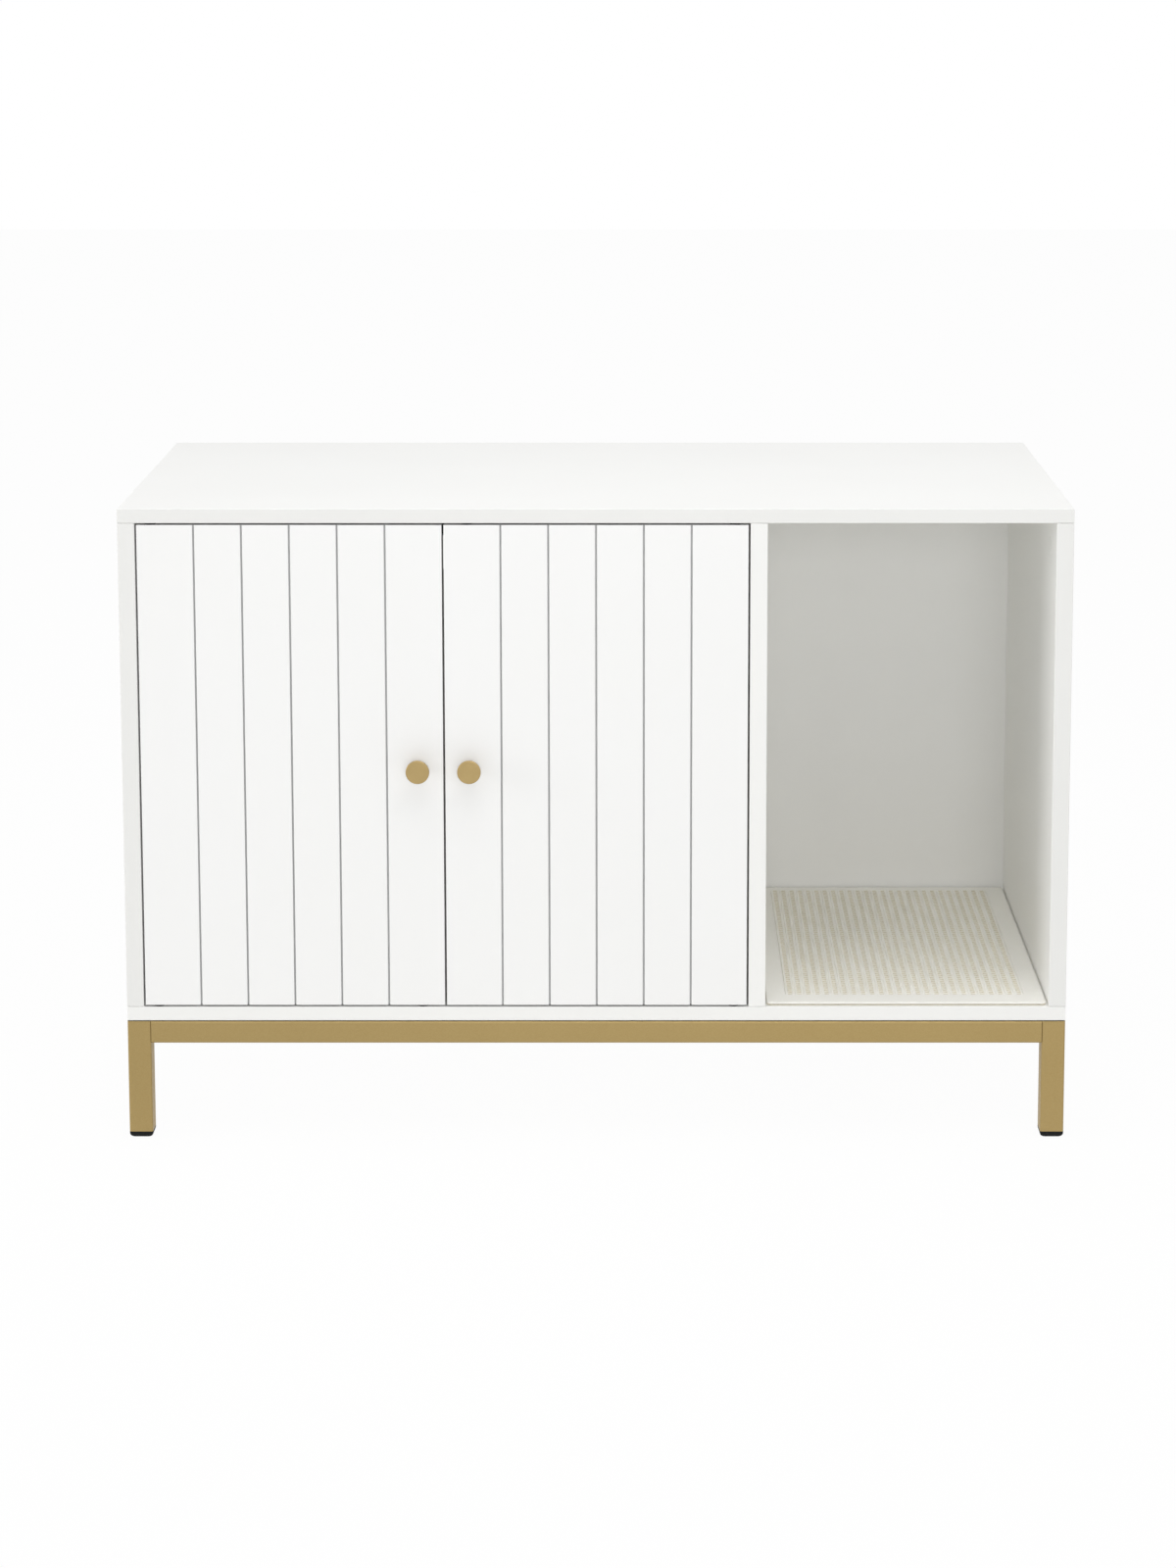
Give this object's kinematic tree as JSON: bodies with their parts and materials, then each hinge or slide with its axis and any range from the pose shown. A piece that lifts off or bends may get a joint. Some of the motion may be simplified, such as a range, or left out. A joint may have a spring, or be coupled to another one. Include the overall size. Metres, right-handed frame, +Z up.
{
  "type": "cat litter box cabinet",
  "caption": "White cabinet for a cat litter tray: grooved double doors beside an open bay with a scratch mat, on a gold square-tube base.",
  "frame": {"origin": "on the floor, at the middle of the whole footprint with the knobs", "axes": "+Z up, +X to the right seen from the front, -Y out of the doors"},
  "size_m": [1, 0.524, 0.682],
  "materials": {
    "white_board": "satin white lacquer on MDF",
    "white_hardboard": "white foil on hardboard",
    "gold_paint": "satin gold powder coat",
    "gold_knob": "satin gold plating",
    "black_plastic": "moulded, matt",
    "black_rubber": "matt",
    "zinc_steel": "bright zinc plate",
    "woven_mat": "woven cord with a flat hem"
  },
  "bodies": {
    "cabinet": {"back_panel_bay": "white_hardboard", "back_panel_litter": "white_hardboard", "bottom_panel": "white_board", "cam_fitting_divider_front": "zinc_steel", "cam_fitting_divider_rear": "zinc_steel", "cam_fitting_left_front": "zinc_steel", "cam_fitting_left_rear": "zinc_steel", "cam_fitting_right_front": "zinc_steel", "cam_fitting_right_rear": "zinc_steel", "carcass_screw_divider_front": "zinc_steel", "carcass_screw_divider_rear": "zinc_steel", "carcass_screw_left_front": "zinc_steel", "carcass_screw_left_rear": "zinc_steel", "carcass_screw_right_front": "zinc_steel", "carcass_screw_right_rear": "zinc_steel", "divider_panel": "white_board", "door_stop": "black_plastic", "door_stop_screw": "zinc_steel", "foot_front_left": "black_plastic", "foot_front_right": "black_plastic", "foot_rear_left": "black_plastic", "foot_rear_right": "black_plastic", "frame_screw_front_left": "zinc_steel", "frame_screw_front_right": "zinc_steel", "frame_screw_rear_left": "zinc_steel", "frame_screw_rear_right": "zinc_steel", "left_bumper": "black_rubber", "left_catch_magnet": "black_plastic", "left_pin_bottom": "zinc_steel", "left_pin_top": "zinc_steel", "left_side_panel": "white_board", "leg_front_left": "gold_paint", "leg_front_right": "gold_paint", "leg_rear_left": "gold_paint", "leg_rear_right": "gold_paint", "rail_front": "gold_paint", "rail_left": "gold_paint", "rail_middle": "gold_paint", "rail_rear": "gold_paint", "rail_right": "gold_paint", "right_bumper": "black_rubber", "right_catch_magnet": "black_plastic", "right_pin_bottom": "zinc_steel", "right_pin_top": "zinc_steel", "right_side_panel": "white_board", "scratch_mat": "woven_mat", "top_panel": "white_board"},
    "left_door": {"left_door": "white_board", "left_bush_bottom": "black_plastic", "left_bush_top": "black_plastic", "left_catch_strike": "zinc_steel", "left_knob": "gold_knob", "left_knob_screw": "zinc_steel"},
    "right_door": {"right_door": "white_board", "right_bush_bottom": "black_plastic", "right_bush_top": "black_plastic", "right_catch_strike": "zinc_steel", "right_knob": "gold_knob", "right_knob_screw": "zinc_steel"}
  },
  "joints": [
    {"name": "left_door_hinge", "type": "hinge", "parent": "cabinet", "child": "left_door", "pos_m": [-0.466, -0.2305, 0.406], "axis": [0, 0, -1], "range_deg": [0, 110]},
    {"name": "right_door_hinge", "type": "hinge", "parent": "cabinet", "child": "right_door", "pos_m": [0.146, -0.2305, 0.406], "axis": [0, 0, 1], "range_deg": [0, 110]}
  ]
}
